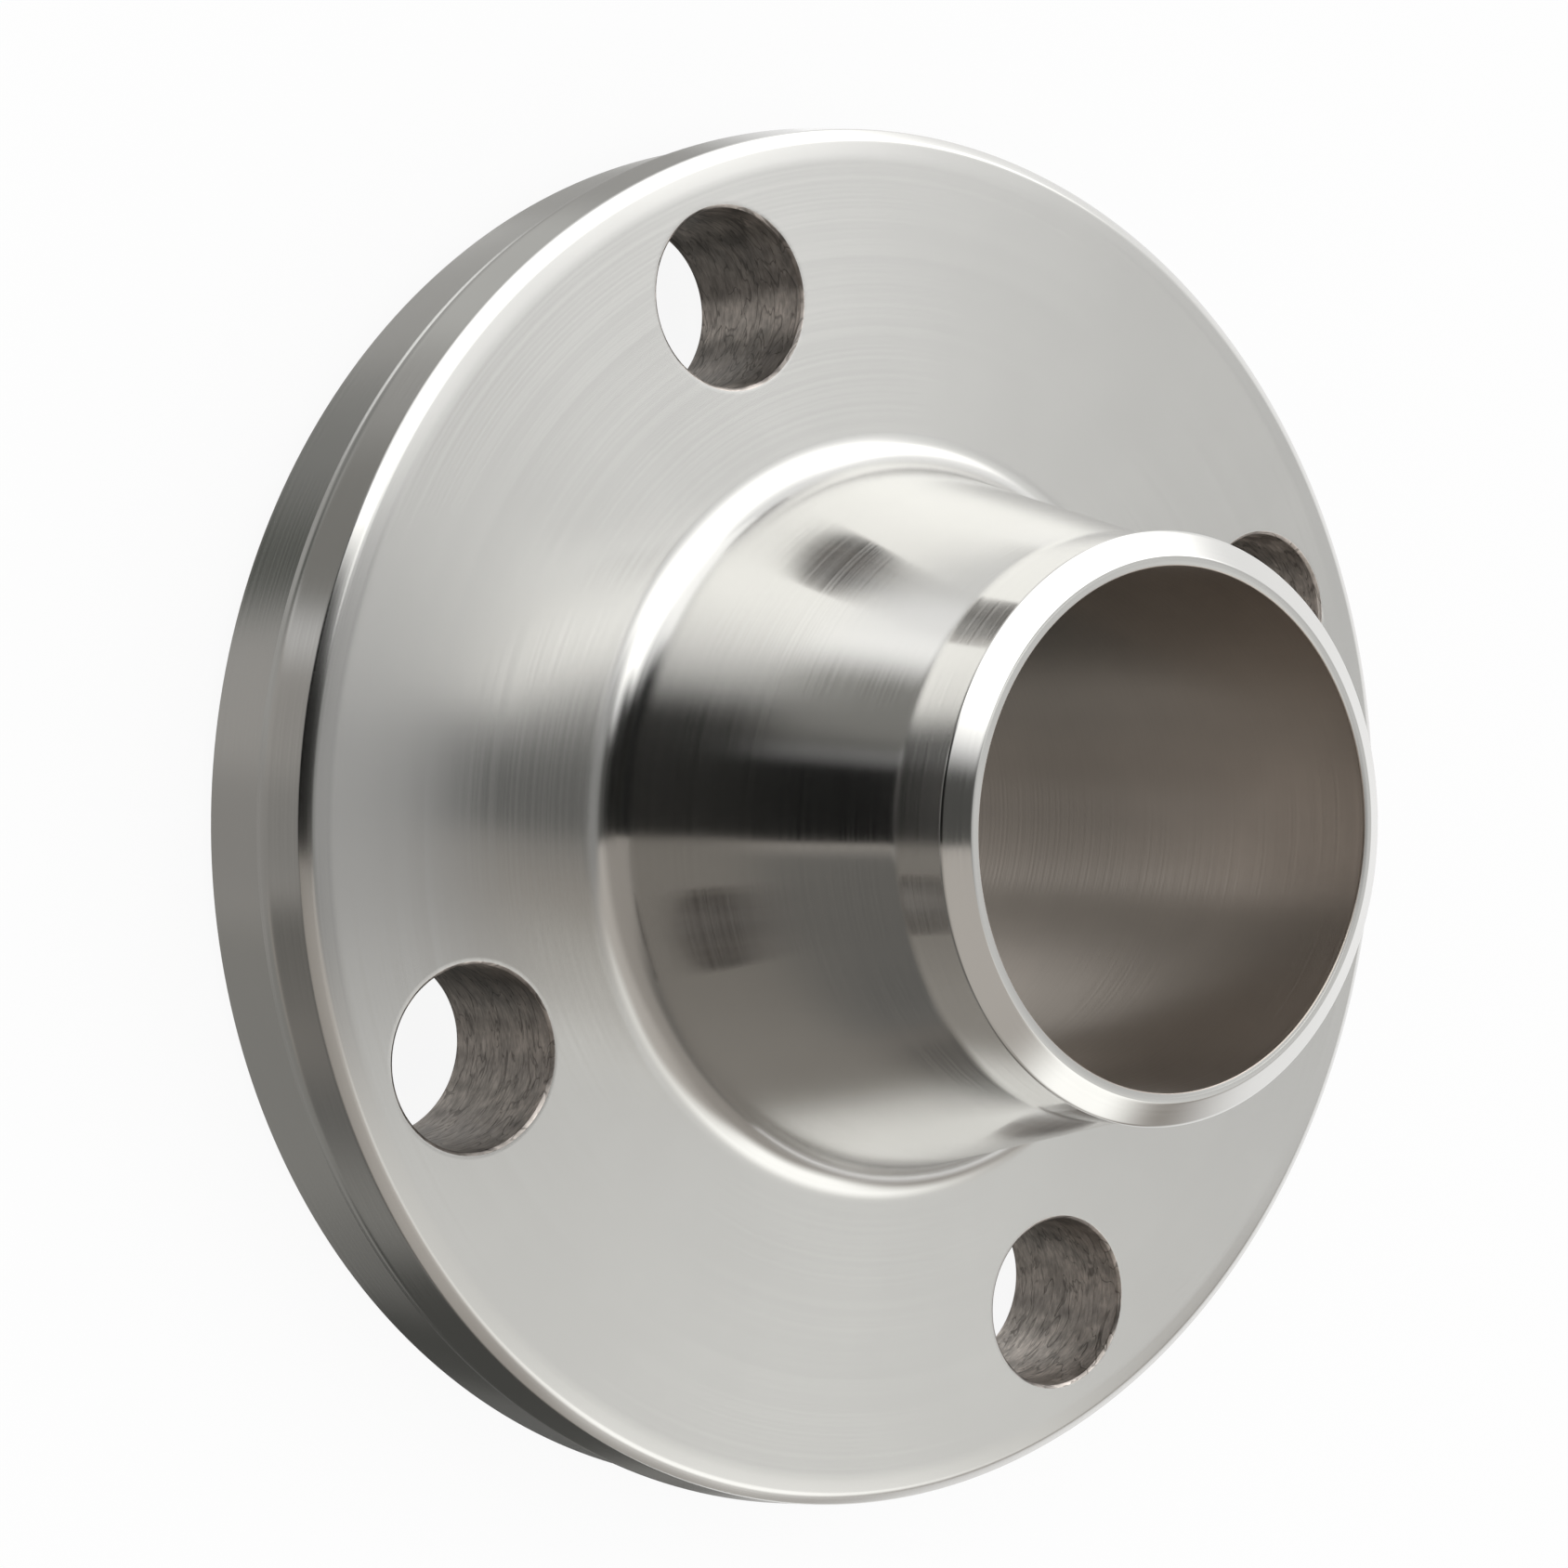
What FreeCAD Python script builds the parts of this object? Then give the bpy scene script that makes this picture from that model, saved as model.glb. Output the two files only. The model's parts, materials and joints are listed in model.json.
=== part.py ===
import FreeCAD, Part
import math
import os

# Weld neck pipe flange: one forged piece of stainless steel, turned all over and drilled for its bolts.
# Lengths are in millimetres and angles in degrees.
# +Z runs along the bore towards the weld end. The origin is on the bore's axis, in the plane of the
# raised sealing face, which is the face that the flange lies on.

# Flange disc
FLANGE_DIA = 152.4
FLANGE_THICKNESS = 18.5
RIM_EDGE_RADIUS = 0.35       # rounding of both edges of the rim
FACE_BEVEL_WIDTH = 3.9       # of the ring at the rim where the hub side of the disc falls away
FACE_BEVEL_SLOPE = 5.0
EDGE_BEVEL_WIDTH = 1.9       # of the outer part of that ring, where a steeper bevel takes over
EDGE_BEVEL_SLOPE = 32.0
EDGE_BEVEL_RADIUS = 1.4      # rounding between the two bevels

# Rim, widest along a crest near its middle. It slopes to the hub side and steps down towards the back.
CREST_HEIGHT = 12.0          # above the back of the disc
CREST_RADIUS = 5.0           # rounding of the crest's section
HUB_SIDE_SLOPE = 8.0         # from the axis, between the crest and the hub side of the disc
STEP_DROP = 0.4              # from the crest to the foot of the step
STEP_ANGLE = 15.0            # from the axis
STEP_FOOT_RADIUS = 0.3
BACK_FALL = 0.15             # from the foot of the step to the edge at the back

# Raised sealing face
RAISED_FACE_DIA = 92.1
RAISED_FACE_RISE = 2.0
RAISED_FACE_BREAK = 0.3
RAISED_FACE_ROOT_RADIUS = 0.8

# Hub, neck and weld end
HUB_LENGTH = 63.0            # from the back of the disc to the tip of the neck
HUB_BASE_DIA = 77.8          # of the cone, where it would meet the disc
HUB_FILLET = 4.5
NECK_DIA = 60.3
NECK_BAND = 7.0              # length of the straight part of the neck
NECK_BLEND = 6.0             # radius where the cone runs into the straight part
WELD_BEVEL_ANGLE = 30.0      # from a plane square to the axis
WELD_LAND = 1.0

# Bore
BORE_DIA = 53.1
BORE_BREAK = 0.5

# Bolt holes, which straddle the X and Y axes
BOLT_EDGE_DISTANCE = 15.875  # from the rim to the bolt circle, which makes the circle 120.65 across
BOLT_HOLE_DIA = 19.05
BOLT_HOLE_COUNT = 4
BOLT_HOLE_BREAK = 0.3
CUTTER_OVERRUN = 1.0

BACK_Z = RAISED_FACE_RISE
FACE_Z = BACK_Z + FLANGE_THICKNESS
TIP_Z = BACK_Z + HUB_LENGTH
ORIGIN = FreeCAD.Vector(0, 0, 0)
AXIS = FreeCAD.Vector(0, 0, 1)


def disc_back():
    """Corners of the section from the bore's mouth, over the raised face and the back, to the rim."""
    bore_r = BORE_DIA / 2
    raised_r = RAISED_FACE_DIA / 2
    edge_r = FLANGE_DIA / 2 - STEP_DROP - BACK_FALL
    return [
        (bore_r, BORE_BREAK, 0),
        (bore_r + BORE_BREAK, 0, 0),
        (raised_r - RAISED_FACE_BREAK, 0, 0),
        (raised_r, RAISED_FACE_BREAK, 0),
        (raised_r, BACK_Z, RAISED_FACE_ROOT_RADIUS),
        (edge_r, BACK_Z, RIM_EDGE_RADIUS),
    ]


def crest_point():
    """Radius and height where the slopes on both sides of the crest would meet, if it were not rounded."""
    slope = math.radians(HUB_SIDE_SLOPE)
    step = math.radians(STEP_ANGLE)
    reach = CREST_RADIUS / math.cos((slope + step) / 2)
    lean = (slope - step) / 2
    centre_r = FLANGE_DIA / 2 - CREST_RADIUS
    centre_z = BACK_Z + CREST_HEIGHT
    return centre_r + reach * math.cos(lean), centre_z + reach * math.sin(lean)


def rim_step():
    """Corners of the rim's middle: the foot of the step, and the point that the crest is cut from."""
    point_r, point_z = crest_point()
    foot_r = FLANGE_DIA / 2 - STEP_DROP
    foot_z = point_z - (point_r - foot_r) / math.tan(math.radians(STEP_ANGLE))
    return [
        (foot_r, foot_z, STEP_FOOT_RADIUS),
        (point_r, point_z, CREST_RADIUS),
    ]


def disc_face():
    """Corners of the section on the hub side, from the rim over the two bevels to the flat of the face."""
    point_r, point_z = crest_point()
    fall = (FACE_BEVEL_WIDTH - EDGE_BEVEL_WIDTH) * math.tan(math.radians(FACE_BEVEL_SLOPE))
    flat_r = FLANGE_DIA / 2 - FACE_BEVEL_WIDTH
    bevel_r, bevel_z = FLANGE_DIA / 2 - EDGE_BEVEL_WIDTH, FACE_Z - fall
    rim_run = math.tan(math.radians(HUB_SIDE_SLOPE))
    bevel_run = math.tan(math.radians(EDGE_BEVEL_SLOPE))
    edge_z = (bevel_z - (point_r + point_z * rim_run - bevel_r) * bevel_run) / (1 - rim_run * bevel_run)
    edge_r = point_r - (edge_z - point_z) * rim_run
    return [
        (edge_r, edge_z, RIM_EDGE_RADIUS),
        (bevel_r, bevel_z, EDGE_BEVEL_RADIUS),
        (flat_r, FACE_Z, 0),
    ]


def hub():
    """Corners of the section from the hub's fillet, up the cone and the neck, to the weld end."""
    bore_r = BORE_DIA / 2
    neck_r = NECK_DIA / 2
    land_r = bore_r + WELD_LAND
    bevel_z = TIP_Z - (neck_r - land_r) * math.tan(math.radians(WELD_BEVEL_ANGLE))
    return [
        (HUB_BASE_DIA / 2, FACE_Z, HUB_FILLET),
        (neck_r, bevel_z - NECK_BAND, NECK_BLEND),
        (neck_r, bevel_z, 0),
        (land_r, TIP_Z, 0),
        (bore_r, TIP_Z, 0),
    ]


def rounded(before, corner, after, radius):
    """Start, middle and end of the arc that rounds a corner, or the corner alone if it is sharp."""
    if radius == 0:
        return [corner]
    back = (before - corner).normalize()
    ahead = (after - corner).normalize()
    half_angle = back.getAngle(ahead) / 2
    reach = radius / math.tan(half_angle)
    depth = radius / math.sin(half_angle) - radius
    inward = (back + ahead).normalize()
    return [corner + back * reach, corner + inward * depth, corner + ahead * reach]


def section_face(corners):
    """Face in the XZ plane from a closed run of corners, each a radius, a height and a rounding."""
    points = [FreeCAD.Vector(r, 0, z) for r, z, radius in corners]
    runs = []
    for index, (r, z, radius) in enumerate(corners):
        after = points[(index + 1) % len(points)]
        runs.append(rounded(points[index - 1], points[index], after, radius))
    edges = []
    for index, run in enumerate(runs):
        if len(run) > 1:
            edges.append(Part.Arc(*run).toShape())
        following = runs[(index + 1) % len(runs)]
        edges.append(Part.LineSegment(run[-1], following[0]).toShape())
    return Part.Face(Part.Wire(edges))


def turned_blank():
    """The flange as it leaves the lathe, before its bolt holes are drilled."""
    corners = disc_back() + rim_step() + disc_face() + hub()
    return section_face(corners).revolve(ORIGIN, AXIS, 360)


def bolt_hole_cutter():
    """Drill along the axis, with a small cone at each face of the disc that breaks the hole's edge."""
    hole_r = BOLT_HOLE_DIA / 2
    wide_r = hole_r + BOLT_HOLE_BREAK + CUTTER_OVERRUN
    cone_height = BOLT_HOLE_BREAK + CUTTER_OVERRUN
    bottom = BACK_Z - CUTTER_OVERRUN
    length = FLANGE_THICKNESS + 2 * CUTTER_OVERRUN
    drill = Part.makeCylinder(hole_r, length, FreeCAD.Vector(0, 0, bottom))
    lower = Part.makeCone(wide_r, hole_r, cone_height, FreeCAD.Vector(0, 0, bottom))
    upper = Part.makeCone(hole_r, wide_r, cone_height, FreeCAD.Vector(0, 0, FACE_Z - BOLT_HOLE_BREAK))
    return drill.fuse([lower, upper])


def drilled(blank):
    """The blank with its bolt holes, the first one half a step round from +X."""
    step = 360 / BOLT_HOLE_COUNT
    circle_r = FLANGE_DIA / 2 - BOLT_EDGE_DISTANCE
    cutters = []
    for number in range(BOLT_HOLE_COUNT):
        cutter = bolt_hole_cutter()
        cutter.translate(FreeCAD.Vector(circle_r, 0, 0))
        cutter.rotate(ORIGIN, AXIS, (number + 0.5) * step)
        cutters.append(cutter)
    return blank.cut(cutters)


def main():
    os.makedirs("parts", exist_ok=True)
    flange = drilled(turned_blank()).Solids[0]
    flange.exportStep("parts/weld_neck_flange.step")
    box = flange.optimalBoundingBox()
    print("valid", flange.isValid(), "volume cm3 %.2f" % (flange.Volume / 1000))
    print("size %.2f x %.2f x %.2f, from z %.2f" % (box.XLength, box.YLength, box.ZLength, box.ZMin))


main()
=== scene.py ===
import json
import math
from collections import namedtuple

import bmesh
import bpy
from mathutils import Matrix, Vector, noise


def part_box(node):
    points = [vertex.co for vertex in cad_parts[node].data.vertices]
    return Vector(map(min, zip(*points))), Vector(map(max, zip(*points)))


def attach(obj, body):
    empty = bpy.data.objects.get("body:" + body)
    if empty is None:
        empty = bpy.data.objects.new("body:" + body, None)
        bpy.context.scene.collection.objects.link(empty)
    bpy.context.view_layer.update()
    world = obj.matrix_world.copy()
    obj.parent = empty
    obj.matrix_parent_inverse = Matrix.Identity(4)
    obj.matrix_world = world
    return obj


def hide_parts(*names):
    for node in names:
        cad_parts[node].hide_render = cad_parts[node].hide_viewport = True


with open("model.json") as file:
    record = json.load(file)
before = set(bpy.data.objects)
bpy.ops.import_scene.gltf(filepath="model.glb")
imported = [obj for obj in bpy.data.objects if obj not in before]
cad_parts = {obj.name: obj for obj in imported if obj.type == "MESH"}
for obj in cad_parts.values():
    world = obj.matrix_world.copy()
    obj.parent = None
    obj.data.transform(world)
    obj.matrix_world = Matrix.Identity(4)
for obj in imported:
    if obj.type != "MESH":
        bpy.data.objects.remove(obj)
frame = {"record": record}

bl_info = {
    "name": "Weld neck pipe flange",
    "version": (1, 0, 0),
    "blender": (4, 5, 0),
    "location": "3D View > Sidebar > Flange",
    "description": "Turns, drills and finishes a weld neck pipe flange, and sets up its studio",
    "category": "Object",
}

NODE = "weld_neck_flange"
BODY = "root"
MM = 0.001
CAD_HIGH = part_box(NODE)[1]
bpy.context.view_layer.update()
MOUNTS = {mount["name"]: mount for mount in frame["record"]["mounts"]}

# Finishes of the flange's surfaces, in the order of its material slots
FINISHES = ("sealing_face", "disc_back", "rim", "disc_face", "hub", "weld_end", "bore", "bolt_hole")

# Steps across the two drilled flats, and down the wall of a bolt hole
FLAT_STEPS = 12
WALL_STEPS = 24

# Distance under which points count as one, and the play in finding the edges round a bolt hole
SAME_POINT = MM / 1000
PLAY = MM / 100

# Upward share of a normal from which a face counts as level
LEVEL = 0.9999

# Size of the drill's tear marks, as the scale of the noise that places them, and how much shorter they are
# along the hole than round it
TEAR_SCALE = 400
TEAR_SHORTENING = 3

# The shortest straight run that gets points of its own, in distances from its ends to the first of them
SHORTEST_RUN = 6

# The part of a noise's range that most of it fills
NOISE_RANGE = (0.3, 0.7)

# Turned steel: the scales of its turning marks and of its clouds, how far its roughness varies from mark
# to mark, and the turn of its highlights' wide direction, as a share of a full turn from its marks
MARK_SCALE = 2600.0
CLOUD_SCALE = 55.0
ROUGHNESS_RANGE = (0.85, 1.15)
ACROSS_THE_MARKS = 0.25

# Drilled steel: how the noise is stretched along the hole and round it, the scale of each kind of mark and
# the shades that it runs through, its roughness, and the depth of its cracks and grain
ALONG_THE_HOLE = (1.0, 1.0, 0.03)
ROUND_THE_HOLE = (0.3, 0.3, 1.0)
STAIN_SCALE = 110.0
STAIN_RANGE = (0.44, 0.56)
STAIN_SHADES = (0.62, 1.12)
MOTTLE_SCALE = 420.0
MOTTLE_SHADES = (0.72, 1.22)
GRAIN_SCALE = 2600.0
GRAIN_SHADES = (0.8, 1.2)
CRACK_SCALE = 480.0
CRACK_LEVEL = 0.5
CRACK_WIDTH = 0.035
CRACK_SHADES = (0.6, 1.0)
DRILLED_ROUGHNESS = (0.34, 0.5)
DRILLED_RELIEF = 0.02 * MM
GRAIN_HEIGHT = 0.5

WHITE = (1.0, 1.0, 1.0, 1.0)
PICTURE_WIDTH = 36.0
CAMERA_CLIP = 0.01

# A corner of an outline: its place, its rounding, the steps round it, and the finish and steps of the run
# after it
Corner = namedtuple("Corner", "place radius arc_steps finish run_steps")

# The finish of a turned surface: the name of its steel and its colour, its roughness, how far its
# highlights are drawn out, the depth of its marks, and how much its shade varies
Turned = namedtuple("Turned", "steel colour roughness anisotropy mark_depth patches")
TURNED = {
    "sealing_face": Turned("sealing_face_steel", "bright", 0.28, 0.60, 0.003 * MM, 0.03),
    "disc_back": Turned("disc_back_steel", "bright", 0.28, 0.60, 0.003 * MM, 0.03),
    "rim": Turned("rim_steel", "rim", 0.16, 0.50, 0.0003 * MM, 0.015),
    "disc_face": Turned("disc_face_steel", "bright", 0.20, 0.86, 0.0004 * MM, 0.015),
    "hub": Turned("hub_steel", "bright", 0.16, 0.92, 0.0002 * MM, 0.01),
    "weld_end": Turned("weld_end_steel", "bright", 0.12, 0.50, 0.0004 * MM, 0.01),
    "bore": Turned("bored_steel", "bored", 0.34, 0.50, 0.003 * MM, 0.05),
}

# The studio's soft panels, laid over each other in this order. Their edges are in degrees: to the right of
# the direction from the flange to the camera, and above it. A blur is half the width of a soft edge.
Panel = namedtuple("Panel", "name light left right low high side_blur low_blur high_blur")
PANELS = (
    Panel("ceiling", (1.50, 1.50, 1.48), -100, 8, 47, 90, 8, 8, 1),
    Panel("ceiling behind", (0.85, 0.85, 0.84), -178, -126, 49, 90, 8, 4, 1),
    Panel("table", (0.395, 0.368, 0.338), -178, 115, -90, -3, 12, 1, 1),
    Panel("table near the flange", (0.185, 0.172, 0.158), -178, -34, -90, -36, 10, 1, 14),
    Panel("table in light", (0.61, 0.575, 0.535), 8, 60, -50, -3, 8, 14, 1),
    Panel("table in bright light", (1.05, 1.04, 1.00), 36, 58, -24, -14, 5, 3, 3),
    Panel("table in shade", (0.165, 0.16, 0.15), -104, -56, -62, -8, 6, 4, 3),
    Panel("table in shade, far part", (0.15, 0.147, 0.14), -114, -90, -60, -26, 5, 5, 5),
    Panel("low reflector", (1.65, 1.65, 1.61), 50, 92, -57, -20.5, 12, 7, 8),
    Panel("wall behind", (0.42, 0.415, 0.40), -178, -114, -8, 53, 5, 4, 3),
    Panel("wall behind, lower part", (0.29, 0.285, 0.27), -178, -112, -50, -6, 5, 4, 4),
    Panel("wall behind in light", (0.62, 0.62, 0.60), -160, -128, 38, 51, 6, 4, 4),
    Panel("lamp behind", (1.15, 1.15, 1.13), -165, -152, 14, 26, 3, 2, 3),
    Panel("streak of shade, upper part", (0.26, 0.26, 0.25), -142, -122, 22, 33, 4, 4, 4),
    Panel("streak of shade", (0.10, 0.105, 0.095), -130, -115, 16, 26, 4, 4, 4),
    Panel("wall behind in shade", (0.075, 0.075, 0.07), -166, -150, -44, -17, 5, 4, 5),
    Panel("wall behind in shade, far end", (0.13, 0.13, 0.125), -178, -163, -26, -6, 4, 3, 3),
    Panel("floor behind in shade", (0.08, 0.08, 0.075), -176, -126, -60, -31, 6, 5, 3),
    Panel("left wall", (0.43, 0.415, 0.395), -118, -86, -8, 18, 4, 5, 4),
    Panel("left wall, low part", (0.34, 0.33, 0.315), -150, -86, -8, 4, 5, 3, 3),
    Panel("left wall, upper part", (0.27, 0.265, 0.25), -116, -52, 20, 46, 5, 4, 6),
    Panel("soft box, low part", (1.90, 1.90, 1.86), 16, 73, 17, 30, 6, 4, 6),
    Panel("high soft box", (2.30, 2.30, 2.26), -4, 105, 23, 64, 10, 6, 10),
    Panel("lamp at the right", (2.20, 2.20, 2.16), 46, 57, 11, 18, 5, 3, 3),
    Panel("right wall", (0.79, 0.79, 0.78), 60, 110, -14, 8, 14, 3, 5),
    Panel("right wall, low part", (0.90, 0.90, 0.88), 60, 86, -19, -6, 8, 3, 3),
    Panel("right wall, near part", (0.54, 0.54, 0.53), 58, 77, 2.4, 5.0, 5, 0.7, 1.4),
    Panel("right wall, far end", (0.72, 0.72, 0.71), 80, 110, 0, 16, 4, 3, 5),
    Panel("right wall, upper part", (0.95, 0.95, 0.94), 79, 110, 16, 27, 4, 4, 4),
    Panel("dark wall, left end", (0.008, 0.008, 0.008), -90, -52, -5.5, 22, 4, 0.6, 7),
    Panel("dark wall", (0.008, 0.008, 0.008), -58, -32, -5.5, 42, 3, 0.6, 8),
    Panel("dark wall, near part", (0.02, 0.02, 0.018), -36, -12, -5.5, 35, 4, 0.6, 10),
    Panel("dark wall, right end", (0.09, 0.09, 0.085), -4, 30, -5.5, 12, 5, 0.6, 4),
    Panel("dark wall, middle", (0.012, 0.012, 0.011), -18, 11, -5.5, 25, 5, 0.6, 5),
    Panel("grey wall", (0.34, 0.34, 0.335), 28, 62, -9, 7.5, 5, 3, 5),
    Panel("grey wall, upper part", (0.38, 0.38, 0.375), 27, 42, 6, 14, 4, 3, 4),
    Panel("grey wall, far end", (0.42, 0.42, 0.415), 50, 74, -4.5, 0.2, 7, 2.5, 1.2),
    Panel("window", (1.80, 1.80, 1.76), 72, 79, 0.4, 2.1, 3, 0.8, 0.8),
)


def mount_size(mount, key):
    """A size of one of the part's mounts, in metres."""
    return MOUNTS[mount]["dims"][key] * MM


def length(name, default, description):
    return bpy.props.FloatProperty(
        name=name, default=default, min=0.0, unit="LENGTH", precision=5, description=description)


def angle(name, degrees, description):
    return bpy.props.FloatProperty(
        name=name, default=math.radians(degrees), subtype="ANGLE", description=description)


def share(name, default, description):
    return bpy.props.FloatProperty(
        name=name, default=default, min=0.0, max=1.0, subtype="FACTOR", description=description)


def colour(name, default, description):
    return bpy.props.FloatVectorProperty(
        name=name, default=default, size=3, min=0.0, max=1.0, subtype="COLOR", description=description)


class FlangeSizes(bpy.types.PropertyGroup):
    """Sizes of the turned section and the bolt holes"""

    rim_radius: length("Rim radius", min(CAD_HIGH.xy), "Radius over the crest of the rim")
    tip_height: length("Overall height", CAD_HIGH.z, "From the sealing face to the tip of the neck")
    face_height: length("Face height", MOUNTS["nut_face"]["pos_m"][2], "Height of the hub side of the disc")
    rim_edge: length("Rim edge radius", 0.35 * MM, "Rounding of both edges of the rim")
    face_bevel_width: length("Face bevel width", 3.9 * MM, "From the rim to where the face starts to fall")
    face_bevel_slope: angle("Face bevel slope", 5, "Slope of the face from there on")
    face_bevel_round: length("Face bevel rounding", 8.0 * MM, "Rounding where the face starts to fall")
    edge_bevel_width: length("Edge bevel width", 1.9 * MM, "From the rim to where a steeper bevel starts")
    edge_bevel_slope: angle("Edge bevel slope", 32, "Slope of the steeper bevel")
    edge_bevel_round: length("Edge bevel rounding", 1.4 * MM, "Rounding between the two bevels")
    crest_height: length("Crest height", 14.0 * MM, "Height of the rim's widest ring")
    crest_radius: length("Crest radius", 5.0 * MM, "Rounding of the crest's section")
    hub_side_slope: angle("Hub side slope", 8, "Slope of the rim on its hub side, from the axis")
    step_drop: length("Step drop", 0.4 * MM, "From the crest to the foot of the step behind it")
    step_slope: angle("Step slope", 15, "Slope of the step, from the axis")
    step_foot: length("Step foot", 0.3 * MM, "Rounding at the foot of the step")
    back_fall: length("Back fall", 0.15 * MM, "How far the rim falls from the step's foot to the back")
    raised_radius: length("Raised face radius", 46.05 * MM, "Radius of the raised sealing face")
    raised_rise: length("Raised face rise", 2.0 * MM, "How far the sealing face stands out of the disc")
    raised_root: length("Raised face root", 0.8 * MM, "Rounding where the raised face meets the disc")
    groove_pitch: length("Groove pitch", 0.8 * MM, "Pitch of the sealing face's turned grooves")
    groove_depth: length("Groove depth", 0.04 * MM, "Depth of the sealing face's turned grooves")
    hub_base_radius: length("Hub base radius", 38.9 * MM, "Radius of the cone where it would meet the disc")
    hub_fillet: length("Hub fillet", 4.5 * MM, "Rounding between the disc and the hub")
    neck_radius: length("Neck radius", mount_size("weld_end", "r_mm"), "Radius of the straight neck")
    neck_band: length("Neck band", 7.0 * MM, "Length of the straight neck")
    neck_blend: length("Neck blend", 6.0 * MM, "Rounding where the cone runs into the neck")
    weld_bevel: angle("Weld bevel", 30, "Slope of the weld bevel, from a plane across the bore")
    weld_land: length("Weld land", 1.0 * MM, "Width of the flat ring left at the tip")
    bore_radius: length("Bore radius", mount_size("bore", "r_mm"), "Radius of the bore")
    bore_break: length("Bore break", 0.5 * MM, "Chamfer at the sealing face's end of the bore")
    bolt_circle: length("Bolt circle", mount_size("bolts", "pcd_mm") / 2, "Radius of the bolt circle")
    hole_radius: length("Bolt hole radius", mount_size("bolts", "hole_r_mm"), "Radius of each bolt hole")
    hole_count: bpy.props.IntProperty(
        name="Bolt holes", default=MOUNTS["bolts"]["dims"]["count"], min=1,
        description="Number of bolt holes")
    hole_break: length("Bolt hole break", 0.3 * MM, "Chamfer at both edges of each bolt hole")
    hole_tear: length("Drill tear", 0.06 * MM, "Depth of the marks that the drill tore in the walls")
    edge_radius: length("Edge radius", 0.12 * MM, "Rounding left on every turned edge")
    turn_steps: bpy.props.IntProperty(
        name="Steps round", default=288, min=16, description="Faces round the turned section")


class FlangeColours(bpy.types.PropertyGroup):
    """Colours of the steel where it is turned, bored and drilled"""

    bright: colour("Turned steel", (0.62, 0.615, 0.60), "Bright turned stainless steel")
    rim: colour("Rim", (0.60, 0.595, 0.58), "The rim, turned a little more coarsely")
    bored: colour("Bored steel", (0.48, 0.435, 0.395), "The bore, a little browner")
    drilled: colour("Drilled steel", (0.50, 0.46, 0.43), "The torn walls of the bolt holes")


class StudioSettings(bpy.types.PropertyGroup):
    """Place of the camera and look of the floor"""

    target: bpy.props.FloatVectorProperty(
        name="Target", default=(-0.0012, 0.0032, -0.0007), subtype="TRANSLATION",
        description="What the camera looks at")
    distance: length("Distance", 0.4316, "From the camera to its target")
    elevation: angle("Elevation", 52.5, "Height of the camera over the floor")
    azimuth: angle("Azimuth", -159.8, "Side that the camera stands on, from +X")
    roll: angle("Roll", 91.7, "Turn of the camera about its own view")
    focal_length: bpy.props.FloatProperty(
        name="Focal length", default=86.5, unit="CAMERA", description="For a picture 36 mm wide")
    floor_size: length("Floor size", 4.0, "Side of the square floor")
    floor_colour: colour("Floor colour", (0.90, 0.90, 0.90), "Colour of the plain floor")
    floor_glow: share("Floor glow", 0.9, "Light of its own that keeps the floor pale")
    backdrop: bpy.props.FloatProperty(
        name="Backdrop", default=1.15, min=0.0, description="Light of the white backdrop and ceiling")


def rounded(before, corner, after, radius, steps):
    """Points along the arc that rounds a corner."""
    back = (before - corner).normalized()
    ahead = (after - corner).normalized()
    half_angle = back.angle(ahead) / 2
    reach = radius / math.tan(half_angle)
    centre = corner + (back + ahead).normalized() * (radius / math.sin(half_angle))
    first = corner + back * reach - centre
    last = corner + ahead * reach - centre
    sweep = math.atan2(first.cross(last), first.dot(last))
    return [centre + Matrix.Rotation(sweep * step / steps, 2) @ first for step in range(steps + 1)]


def straight(start, end, support, steps):
    """Points inside a straight run: one near each end, to keep its shading flat, and steps between."""
    if (end - start).length < SHORTEST_RUN * support:
        return []
    ahead = (end - start).normalized()
    first = start + ahead * support
    last = end - ahead * support
    return [first.lerp(last, step / steps) for step in range(steps + 1)]


def outline(corners, closed, support):
    """Points of an outline, each with the finish of the run that follows it."""
    places = [Vector(corner.place) for corner in corners]
    count = len(corners)
    arcs = []
    for index, corner in enumerate(corners):
        inside = closed or 0 < index < count - 1
        if corner.radius > 0 and inside:
            before, after = places[index - 1], places[(index + 1) % count]
            arcs.append(rounded(before, places[index], after, corner.radius, corner.arc_steps))
        else:
            arcs.append([places[index]])
    points = []
    for index, corner in enumerate(corners):
        run = list(arcs[index])
        if closed or index < count - 1:
            following = arcs[(index + 1) % count][0]
            run += straight(run[-1], following, support, corner.run_steps)
        points += [(point, corner.finish) for point in run]
    return points


def sealing_grooves(s):
    """Corners of the shallow turned grooves across the raised face, a crest and a root in turn."""
    start = s.bore_radius + s.bore_break + s.groove_pitch
    end = s.raised_radius - s.groove_pitch
    count = round((end - start) / s.groove_pitch)
    half_pitch = (end - start) / count / 2
    corners = []
    for number in range(2 * count + 1):
        depth = s.groove_depth if number % 2 else 0
        corners.append(Corner((start + number * half_pitch, depth), 0, 1, "sealing_face", 1))
    return corners


def crest_point(s):
    """Radius and height where the slopes on both sides of the rim's crest would meet."""
    reach = s.crest_radius / math.cos((s.hub_side_slope + s.step_slope) / 2)
    lean = (s.hub_side_slope - s.step_slope) / 2
    centre_r = s.rim_radius - s.crest_radius
    return centre_r + reach * math.cos(lean), s.crest_height + reach * math.sin(lean)


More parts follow.
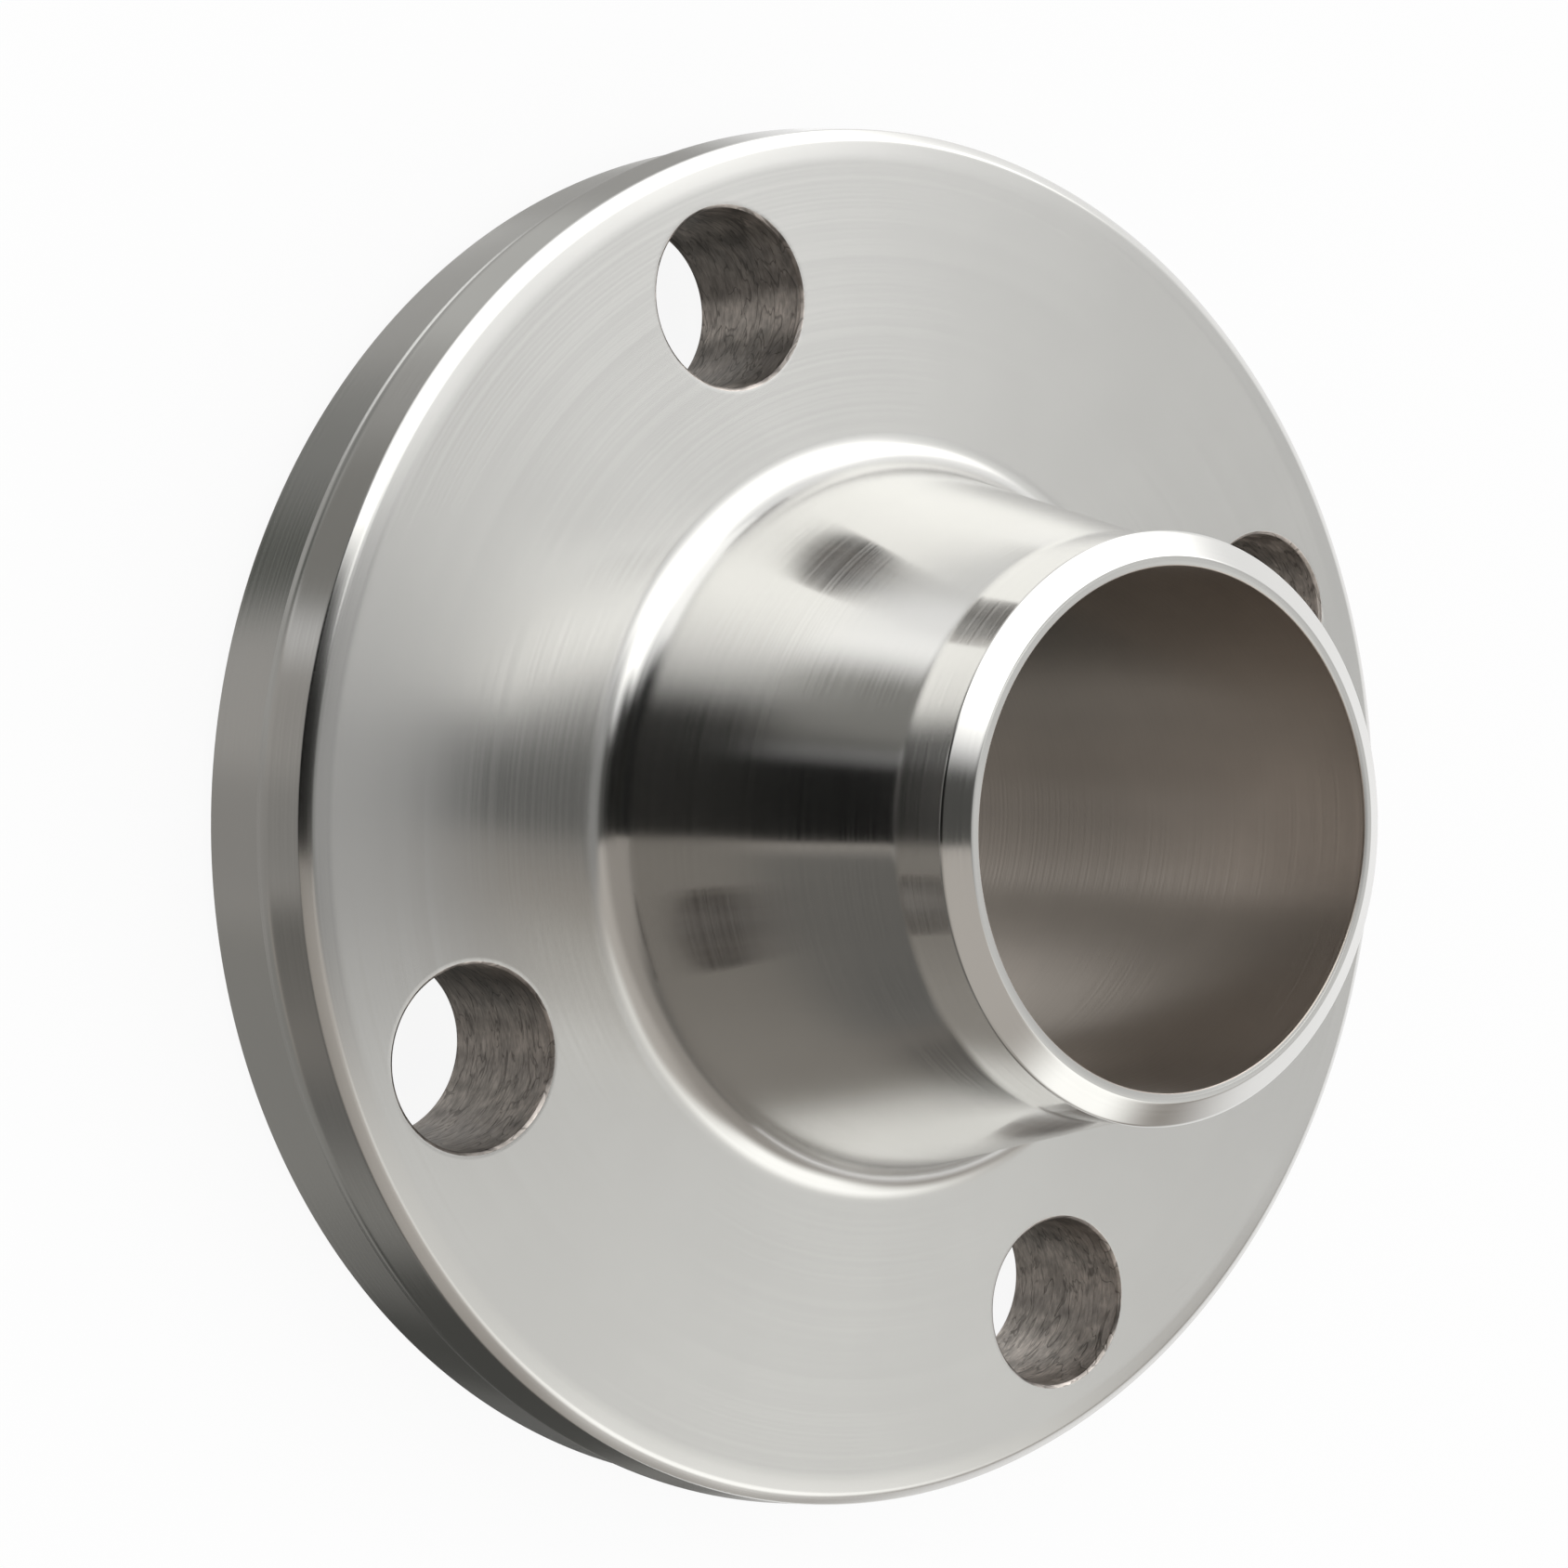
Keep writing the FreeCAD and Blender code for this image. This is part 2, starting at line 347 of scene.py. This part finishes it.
def section(s):
    """Corners of the whole section, from the bore's mouth round the disc and the hub to the neck's tip."""
    edge = s.edge_radius
    crest_r, crest_z = crest_point(s)
    foot_r = s.rim_radius - s.step_drop
    foot_z = crest_z - (crest_r - foot_r) / math.tan(s.step_slope)
    back_r = foot_r - s.back_fall
    flat_r = s.rim_radius - s.face_bevel_width
    bevel_r = s.rim_radius - s.edge_bevel_width
    bevel_z = s.face_height - (bevel_r - flat_r) * math.tan(s.face_bevel_slope)
    rim_run, bevel_run = math.tan(s.hub_side_slope), math.tan(s.edge_bevel_slope)
    edge_z = (bevel_z - (crest_r + crest_z * rim_run - bevel_r) * bevel_run) / (1 - rim_run * bevel_run)
    edge_r = crest_r - (edge_z - crest_z) * rim_run
    land_r = s.bore_radius + s.weld_land
    weld_z = s.tip_height - (s.neck_radius - land_r) * math.tan(s.weld_bevel)
    mouth = [
        Corner((s.bore_radius, s.bore_break), edge, 2, "sealing_face", 1),
        Corner((s.bore_radius + s.bore_break, 0), edge, 2, "sealing_face", 1),
    ]
    back = [
        Corner((s.raised_radius, 0), 2 * edge, 3, "sealing_face", 1),
        Corner((s.raised_radius, s.raised_rise), s.raised_root, 6, "disc_back", FLAT_STEPS),
    ]
    rim = [
        Corner((back_r, s.raised_rise), s.rim_edge, 6, "rim", 2),
        Corner((foot_r, foot_z), s.step_foot, 3, "rim", 1),
        Corner((crest_r, crest_z), s.crest_radius, 8, "rim", 3),
        Corner((edge_r, edge_z), s.rim_edge, 6, "disc_face", 1),
    ]
    face = [
        Corner((bevel_r, bevel_z), s.edge_bevel_round, 6, "disc_face", 1),
        Corner((flat_r, s.face_height), s.face_bevel_round, 4, "disc_face", FLAT_STEPS),
    ]
    hub = [
        Corner((s.hub_base_radius, s.face_height), s.hub_fillet, 16, "hub", 8),
        Corner((s.neck_radius, weld_z - s.neck_band), s.neck_blend, 4, "hub", 2),
        Corner((s.neck_radius, weld_z), edge, 2, "weld_end", 1),
        Corner((land_r, s.tip_height), edge, 2, "weld_end", 1),
        Corner((s.bore_radius, s.tip_height), edge, 2, "bore", 12),
    ]
    return mouth + sealing_grooves(s) + back + rim + face + hub


def hole_section(s):
    """Corners of a bolt hole's wall, from the hub side of the disc down to its back."""
    edge = s.edge_radius
    wide_r = s.hole_radius + s.hole_break
    ring_r = wide_r + 4 * edge
    top = s.face_height
    bottom = s.raised_rise
    return [
        Corner((ring_r, top), 0, 1, "disc_face", 1),
        Corner((wide_r, top), edge, 2, "bolt_hole", 1),
        Corner((s.hole_radius, top - s.hole_break), edge, 2, "bolt_hole", WALL_STEPS),
        Corner((s.hole_radius, bottom + s.hole_break), edge, 2, "bolt_hole", 1),
        Corner((wide_r, bottom), edge, 2, "disc_back", 1),
        Corner((ring_r, bottom), 0, 1, "disc_back", 1),
    ]


def add(whole, part):
    """Move one mesh under construction into another."""
    data = bpy.data.meshes.new("part")
    part.to_mesh(data)
    part.free()
    whole.from_mesh(data)
    bpy.data.meshes.remove(data)


def turn(points, closed, centre, start_angle, steps):
    """Spin an outline round an upright axis, one finish after another, and join them along shared rings."""
    out = Vector((math.cos(start_angle), math.sin(start_angle), 0))
    places = [centre + out * point.x + Vector((0, 0, point.y)) for point, finish in points]
    whole = bmesh.new()
    last = len(points) if closed else len(points) - 1
    start = 0
    while start < last:
        finish = points[start][1]
        end = start + 1
        while end < last and points[end][1] == finish:
            end += 1
        part = bmesh.new()
        verts = [part.verts.new(places[index % len(points)]) for index in range(start, end + 1)]
        lines = [part.edges.new(pair) for pair in zip(verts, verts[1:])]
        bmesh.ops.spin(
            part, geom=verts + lines, cent=centre, axis=(0, 0, 1), angle=math.tau, steps=steps,
            use_merge=True)
        for face in part.faces:
            face.material_index = FINISHES.index(finish)
        add(whole, part)
        start = end
    bmesh.ops.remove_doubles(whole, verts=whole.verts, dist=SAME_POINT)
    return whole


def turn_difference(first, second):
    """Smallest turn between two angles."""
    return abs((first - second + math.pi) % math.tau - math.pi)


def open_flat(mesh, s, finish, hole_angle):
    """Take away the faces of one flat around a bolt hole, and return the edges of the gap."""
    half_sector = math.pi / (2 * s.hole_count)
    index = FINISHES.index(finish)
    narrowest = 4 * s.edge_radius
    taken = set()
    for face in mesh.faces:
        if face.material_index != index or abs(face.normal.z) < LEVEL:
            continue
        middle = face.calc_center_median()
        in_sector = turn_difference(math.atan2(middle.y, middle.x), hole_angle) < half_sector
        if in_sector and min(edge.calc_length() for edge in face.edges) > narrowest:
            taken.add(face)
    rim = {edge for face in taken for edge in face.edges if not taken.issuperset(edge.link_faces)}
    bmesh.ops.delete(mesh, geom=list(taken), context="FACES")
    return list(rim)


def tear_wall(wall, s, centre):
    """Push the wall of a bolt hole outwards in shallow streaks, as a worn drill leaves it."""
    top = s.face_height - s.hole_break - 2 * s.edge_radius
    bottom = s.raised_rise + s.hole_break + 2 * s.edge_radius
    for vert in wall.verts:
        if bottom < vert.co.z < top:
            away = vert.co - Vector((centre.x, centre.y, vert.co.z))
            place = Vector((vert.co.x, vert.co.y, vert.co.z * TEAR_SHORTENING)) * TEAR_SCALE
            vert.co += away.normalized() * s.hole_tear * max(0, noise.noise(place))


def drill(mesh, s, hole_angle):
    """Add one bolt hole's wall and join it to the two flats."""
    centre = Vector((math.cos(hole_angle), math.sin(hole_angle), 0)) * s.bolt_circle
    flats = {"disc_face": s.face_height, "disc_back": s.raised_rise}
    gaps = {finish: open_flat(mesh, s, finish, hole_angle) for finish in flats}
    points = outline(hole_section(s), False, 2 * s.edge_radius)
    wall = turn(points, False, centre, hole_angle, len(gaps["disc_face"]))
    reach = max(point.x for point, finish in points) + PLAY
    tear_wall(wall, s, centre)
    add(mesh, wall)
    for finish, height in flats.items():
        ring = [
            edge for edge in mesh.edges
            if edge.is_boundary and abs(edge.verts[0].co.z - height) < PLAY
            and (edge.verts[0].co.xy - centre.xy).length < reach]
        joined = bmesh.ops.bridge_loops(mesh, edges=gaps[finish] + ring)
        for face in joined["faces"]:
            face.material_index = FINISHES.index(finish)


def build_flange_mesh(s):
    """The flange as one closed mesh, with a material slot for each finish."""
    mesh = turn(outline(section(s), True, 2 * s.edge_radius), True, Vector((0, 0, 0)), 0, s.turn_steps)
    for number in range(s.hole_count):
        drill(mesh, s, (number + 0.5) * math.tau / s.hole_count)
    bmesh.ops.recalc_face_normals(mesh, faces=mesh.faces)
    for face in mesh.faces:
        face.smooth = True
    return mesh


class Nodes:
    """Short way to add nodes to a node tree and to join them"""

    def __init__(self, tree):
        self.tree = tree
        tree.nodes.clear()

    def add(self, kind, settings=None, inputs=None):
        node = self.tree.nodes.new(kind)
        for name, value in (settings or {}).items():
            setattr(node, name, value)
        for name, value in (inputs or {}).items():
            if isinstance(value, bpy.types.NodeSocket):
                self.tree.links.new(value, node.inputs[name])
            else:
                node.inputs[name].default_value = value
        return node

    def math(self, operation, first, second=0.0):
        return self.add("ShaderNodeMath", {"operation": operation}, {0: first, 1: second}).outputs[0]

    def vector(self, operation, first, second=(0.0, 0.0, 0.0)):
        return self.add("ShaderNodeVectorMath", {"operation": operation}, {0: first, 1: second})

    def noise_value(self, place, scale, detail, distortion=0.0):
        inputs = {"Vector": place, "Scale": scale, "Detail": detail, "Distortion": distortion}
        return self.add("ShaderNodeTexNoise", inputs=inputs).outputs["Fac"]

    def ramp(self, value, low, high, to_low=0.0, to_high=1.0):
        """A value between two edges, moved to another range with a soft start and end."""
        soft = {"interpolation_type": "SMOOTHSTEP"}
        inputs = {"Value": value, "From Min": low, "From Max": high, "To Min": to_low, "To Max": to_high}
        return self.add("ShaderNodeMapRange", soft, inputs).outputs["Result"]

    def between(self, value, low, high, low_blur, high_blur):
        """1 between two edges and 0 outside, each edge blurred by so much to both sides."""
        rise = self.ramp(value, low - low_blur, low + low_blur)
        fall = self.ramp(value, high - high_blur, high + high_blur, 1.0, 0.0)
        return self.math("MULTIPLY", rise, fall)

    def mix(self, factor, first, second, label):
        node = self.add("ShaderNodeMix", {"data_type": "RGBA", "label": label}, {"Factor": factor})
        for socket, value in ((node.inputs[6], first), (node.inputs[7], second)):
            if isinstance(value, bpy.types.NodeSocket):
                self.tree.links.new(value, socket)
            else:
                socket.default_value = (*value, 1.0)
        return node.outputs[2]

    def tinted(self, base, shade):
        """A colour made darker or lighter by a factor."""
        tint = self.vector("SCALE", base)
        self.tree.links.new(shade, tint.inputs["Scale"])
        return tint.outputs["Vector"]

    def relief(self, height, depth):
        """Normals of a surface that stands up to this depth out of the mesh."""
        inputs = {"Strength": 1.0, "Distance": depth, "Height": height}
        return self.add("ShaderNodeBump", inputs=inputs).outputs["Normal"]


def turned_steel(finish, base):
    """Steel turned round the bore: fine rings in relief, and highlights drawn out across them."""
    material = bpy.data.materials.new(finish.steel)
    material.use_nodes = True
    n = Nodes(material.node_tree)
    place = n.add("ShaderNodeTexCoord").outputs["Object"]
    parts = n.add("ShaderNodeSeparateXYZ", inputs={0: place})
    flat = n.add("ShaderNodeCombineXYZ", inputs={0: parts.outputs[0], 1: parts.outputs[1]}).outputs[0]
    radius = n.vector("LENGTH", flat).outputs["Value"]
    along = n.add("ShaderNodeCombineXYZ", inputs={0: radius, 1: parts.outputs[2]}).outputs[0]
    marks = n.noise_value(along, MARK_SCALE, 2.0)
    cloud = n.noise_value(place, CLOUD_SCALE, 3.0)
    round_the_bore = n.vector("CROSS_PRODUCT", (0.0, 0.0, 1.0), place).outputs["Vector"]
    tangent = n.vector("NORMALIZE", round_the_bore).outputs["Vector"]
    shade = n.ramp(cloud, *NOISE_RANGE, 1.0 - finish.patches, 1.0 + finish.patches)
    roughness = n.ramp(marks, *NOISE_RANGE, *(finish.roughness * factor for factor in ROUGHNESS_RANGE))
    steel = n.add("ShaderNodeBsdfPrincipled", inputs={
        "Base Color": n.tinted(base, shade), "Metallic": 1.0, "Roughness": roughness,
        "Anisotropic": finish.anisotropy, "Anisotropic Rotation": ACROSS_THE_MARKS, "Tangent": tangent,
        "Normal": n.relief(marks, finish.mark_depth)})
    n.add("ShaderNodeOutputMaterial", inputs={"Surface": steel.outputs["BSDF"]})
    return material


def drilled_steel(name, base):
    """The torn wall of a drilled hole: mottled brown-grey, streaked along the hole and cracked round it."""
    material = bpy.data.materials.new(name)
    material.use_nodes = True
    n = Nodes(material.node_tree)
    place = n.add("ShaderNodeTexCoord").outputs["Object"]
    along = n.vector("MULTIPLY", place, ALONG_THE_HOLE).outputs["Vector"]
    around = n.vector("MULTIPLY", place, ROUND_THE_HOLE).outputs["Vector"]
    stain = n.noise_value(along, STAIN_SCALE, 1.0)
    mottle = n.noise_value(place, MOTTLE_SCALE, 5.0)
    grain = n.noise_value(around, GRAIN_SCALE, 4.0, 0.6)
    torn = n.noise_value(around, CRACK_SCALE, 2.0, 1.2)
    off_the_crack = n.math("ABSOLUTE", n.math("SUBTRACT", torn, CRACK_LEVEL))
    crack = n.ramp(off_the_crack, 0.0, CRACK_WIDTH)
    shade = n.ramp(stain, *STAIN_RANGE, *STAIN_SHADES)
    for other in (
            n.ramp(mottle, *NOISE_RANGE, *MOTTLE_SHADES),
            n.ramp(grain, *NOISE_RANGE, *GRAIN_SHADES),
            n.ramp(crack, 0.0, 1.0, *CRACK_SHADES)):
        shade = n.math("MULTIPLY", shade, other)
    height = n.math("ADD", n.math("MULTIPLY", grain, GRAIN_HEIGHT), crack)
    steel = n.add("ShaderNodeBsdfPrincipled", inputs={
        "Base Color": n.tinted(base, shade), "Metallic": 1.0,
        "Roughness": n.ramp(mottle, *NOISE_RANGE, *DRILLED_ROUGHNESS),
        "Normal": n.relief(height, DRILLED_RELIEF)})
    n.add("ShaderNodeOutputMaterial", inputs={"Surface": steel.outputs["BSDF"]})
    return material


def flange_materials(c):
    """A material for each finish, in the order of FINISHES."""
    steels = {name: turned_steel(finish, getattr(c, finish.colour)) for name, finish in TURNED.items()}
    steels["bolt_hole"] = drilled_steel("drilled_steel", c.drilled)
    return [steels[name] for name in FINISHES]


class FLANGE_OT_build(bpy.types.Operator):
    """Turn the flange, drill its bolt holes and give each surface its finish"""

    bl_idname = "flange.build"
    bl_label = "Build the flange"

    def execute(self, context):
        scene = context.scene
        shape = build_flange_mesh(scene.flange_sizes)
        data = bpy.data.meshes.new("flange")
        shape.to_mesh(data)
        shape.free()
        for material in flange_materials(scene.flange_colours):
            data.materials.append(material)
        flange = bpy.data.objects.new("flange", data)
        scene.collection.objects.link(flange)
        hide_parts(NODE)
        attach(flange, BODY)
        return {"FINISHED"}


def camera_turn(s):
    """Rotation of the camera, as a matrix whose columns are picture right, picture up and back."""
    level = math.cos(s.elevation)
    back = Vector((level * math.cos(s.azimuth), level * math.sin(s.azimuth), math.sin(s.elevation)))
    upright = (-back).to_track_quat("-Z", "Y").to_matrix()
    return upright @ Matrix.Rotation(s.roll, 3, "Z")


class FLANGE_OT_camera(bpy.types.Operator):
    """Set up the camera, which looks down on the flange with the neck pointing to picture right"""

    bl_idname = "flange.camera"
    bl_label = "Set up the camera"

    def execute(self, context):
        s = context.scene.flange_studio
        turn_matrix = camera_turn(s)
        data = bpy.data.cameras.new("camera")
        data.sensor_width = PICTURE_WIDTH
        data.lens = s.focal_length
        data.clip_start = CAMERA_CLIP
        camera = bpy.data.objects.new("camera", data)
        camera.matrix_world = (
            Matrix.Translation(Vector(s.target) + turn_matrix.col[2] * s.distance) @ turn_matrix.to_4x4())
        context.scene.collection.objects.link(camera)
        context.scene.camera = camera
        return {"FINISHED"}


def floor_material(s):
    """A plain pale floor that glows a little, so that only a faint shadow shows on it."""
    material = bpy.data.materials.new("floor_paper")
    material.use_nodes = True
    n = Nodes(material.node_tree)
    paper = n.add("ShaderNodeBsdfDiffuse", inputs={"Color": (*s.floor_colour, 1.0)})
    glow = n.add("ShaderNodeEmission", inputs={"Color": WHITE, "Strength": 1.0})
    both = n.add("ShaderNodeMixShader", inputs={
        "Fac": s.floor_glow, 1: paper.outputs["BSDF"], 2: glow.outputs["Emission"]})
    n.add("ShaderNodeOutputMaterial", inputs={"Surface": both.outputs["Shader"]})
    return material


def studio_light(scene, s):
    """Light the flange from a world of soft panels, placed by the camera's view.

    Only the steel sees the panels. The camera and the matt floor see plain white.
    """
    world = bpy.data.worlds.new("studio")
    world.use_nodes = True
    scene.world = world
    n = Nodes(world.node_tree)
    way = n.add("ShaderNodeTexCoord").outputs["Generated"]
    right, up, back = (
        n.vector("DOT_PRODUCT", way, tuple(axis)).outputs["Value"] for axis in camera_turn(s).transposed())
    azimuth = n.math("DEGREES", n.math("ARCTAN2", right, back))
    elevation = n.math("DEGREES", n.math("ARCSINE", up))
    light = (s.backdrop,) * 3
    for panel in PANELS:
        across = n.between(azimuth, panel.left, panel.right, panel.side_blur, panel.side_blur)
        upward = n.between(elevation, panel.low, panel.high, panel.low_blur, panel.high_blur)
        light = n.mix(n.math("MULTIPLY", across, upward), light, panel.light, panel.name)
    panels = n.add("ShaderNodeBackground", inputs={"Color": light, "Strength": 1.0})
    plain = n.add("ShaderNodeBackground", inputs={"Color": WHITE, "Strength": 1.0})
    path = n.add("ShaderNodeLightPath").outputs
    sees_white = n.math("MAXIMUM", path["Is Camera Ray"], path["Is Diffuse Ray"])
    both = n.add("ShaderNodeMixShader", inputs={
        "Fac": sees_white, 1: panels.outputs["Background"], 2: plain.outputs["Background"]})
    n.add("ShaderNodeOutputWorld", inputs={"Surface": both.outputs["Shader"]})
    world.cycles.sampling_method = "NONE"


class FLANGE_OT_stage(bpy.types.Operator):
    """Lay the pale floor and light the flange"""

    bl_idname = "flange.stage"
    bl_label = "Set up the stage"

    def execute(self, context):
        scene = context.scene
        s = scene.flange_studio
        shape = bmesh.new()
        bmesh.ops.create_grid(shape, x_segments=1, y_segments=1, size=s.floor_size / 2)
        data = bpy.data.meshes.new("floor")
        shape.to_mesh(data)
        shape.free()
        data.materials.append(floor_material(s))
        floor = bpy.data.objects.new("floor", data)
        scene.collection.objects.link(floor)
        floor.visible_glossy = False
        studio_light(scene, s)
        scene.view_settings.view_transform = "Standard"
        return {"FINISHED"}


class FLANGE_PT_panel(bpy.types.Panel):
    """Sizes, colours and steps of the flange"""

    bl_idname = "FLANGE_PT_panel"
    bl_label = "Weld neck flange"
    bl_space_type = "VIEW_3D"
    bl_region_type = "UI"
    bl_category = "Flange"

    def draw(self, context):
        for operator in (FLANGE_OT_build, FLANGE_OT_camera, FLANGE_OT_stage):
            self.layout.operator(operator.bl_idname)
        scene = context.scene
        for group in (scene.flange_sizes, scene.flange_colours, scene.flange_studio):
            column = self.layout.column()
            for name in type(group).__annotations__:
                column.prop(group, name)


CLASSES = (
    FlangeSizes, FlangeColours, StudioSettings, FLANGE_OT_build, FLANGE_OT_camera, FLANGE_OT_stage,
    FLANGE_PT_panel)


def register():
    for cls in CLASSES:
        bpy.utils.register_class(cls)
    bpy.types.Scene.flange_sizes = bpy.props.PointerProperty(type=FlangeSizes)
    bpy.types.Scene.flange_colours = bpy.props.PointerProperty(type=FlangeColours)
    bpy.types.Scene.flange_studio = bpy.props.PointerProperty(type=StudioSettings)


def unregister():
    del bpy.types.Scene.flange_studio
    del bpy.types.Scene.flange_colours
    del bpy.types.Scene.flange_sizes
    for cls in reversed(CLASSES):
        bpy.utils.unregister_class(cls)


def main():
    register()
    bpy.ops.flange.build()
    bpy.ops.flange.camera()
    bpy.ops.flange.stage()


if __name__ == "__main__":
    main()
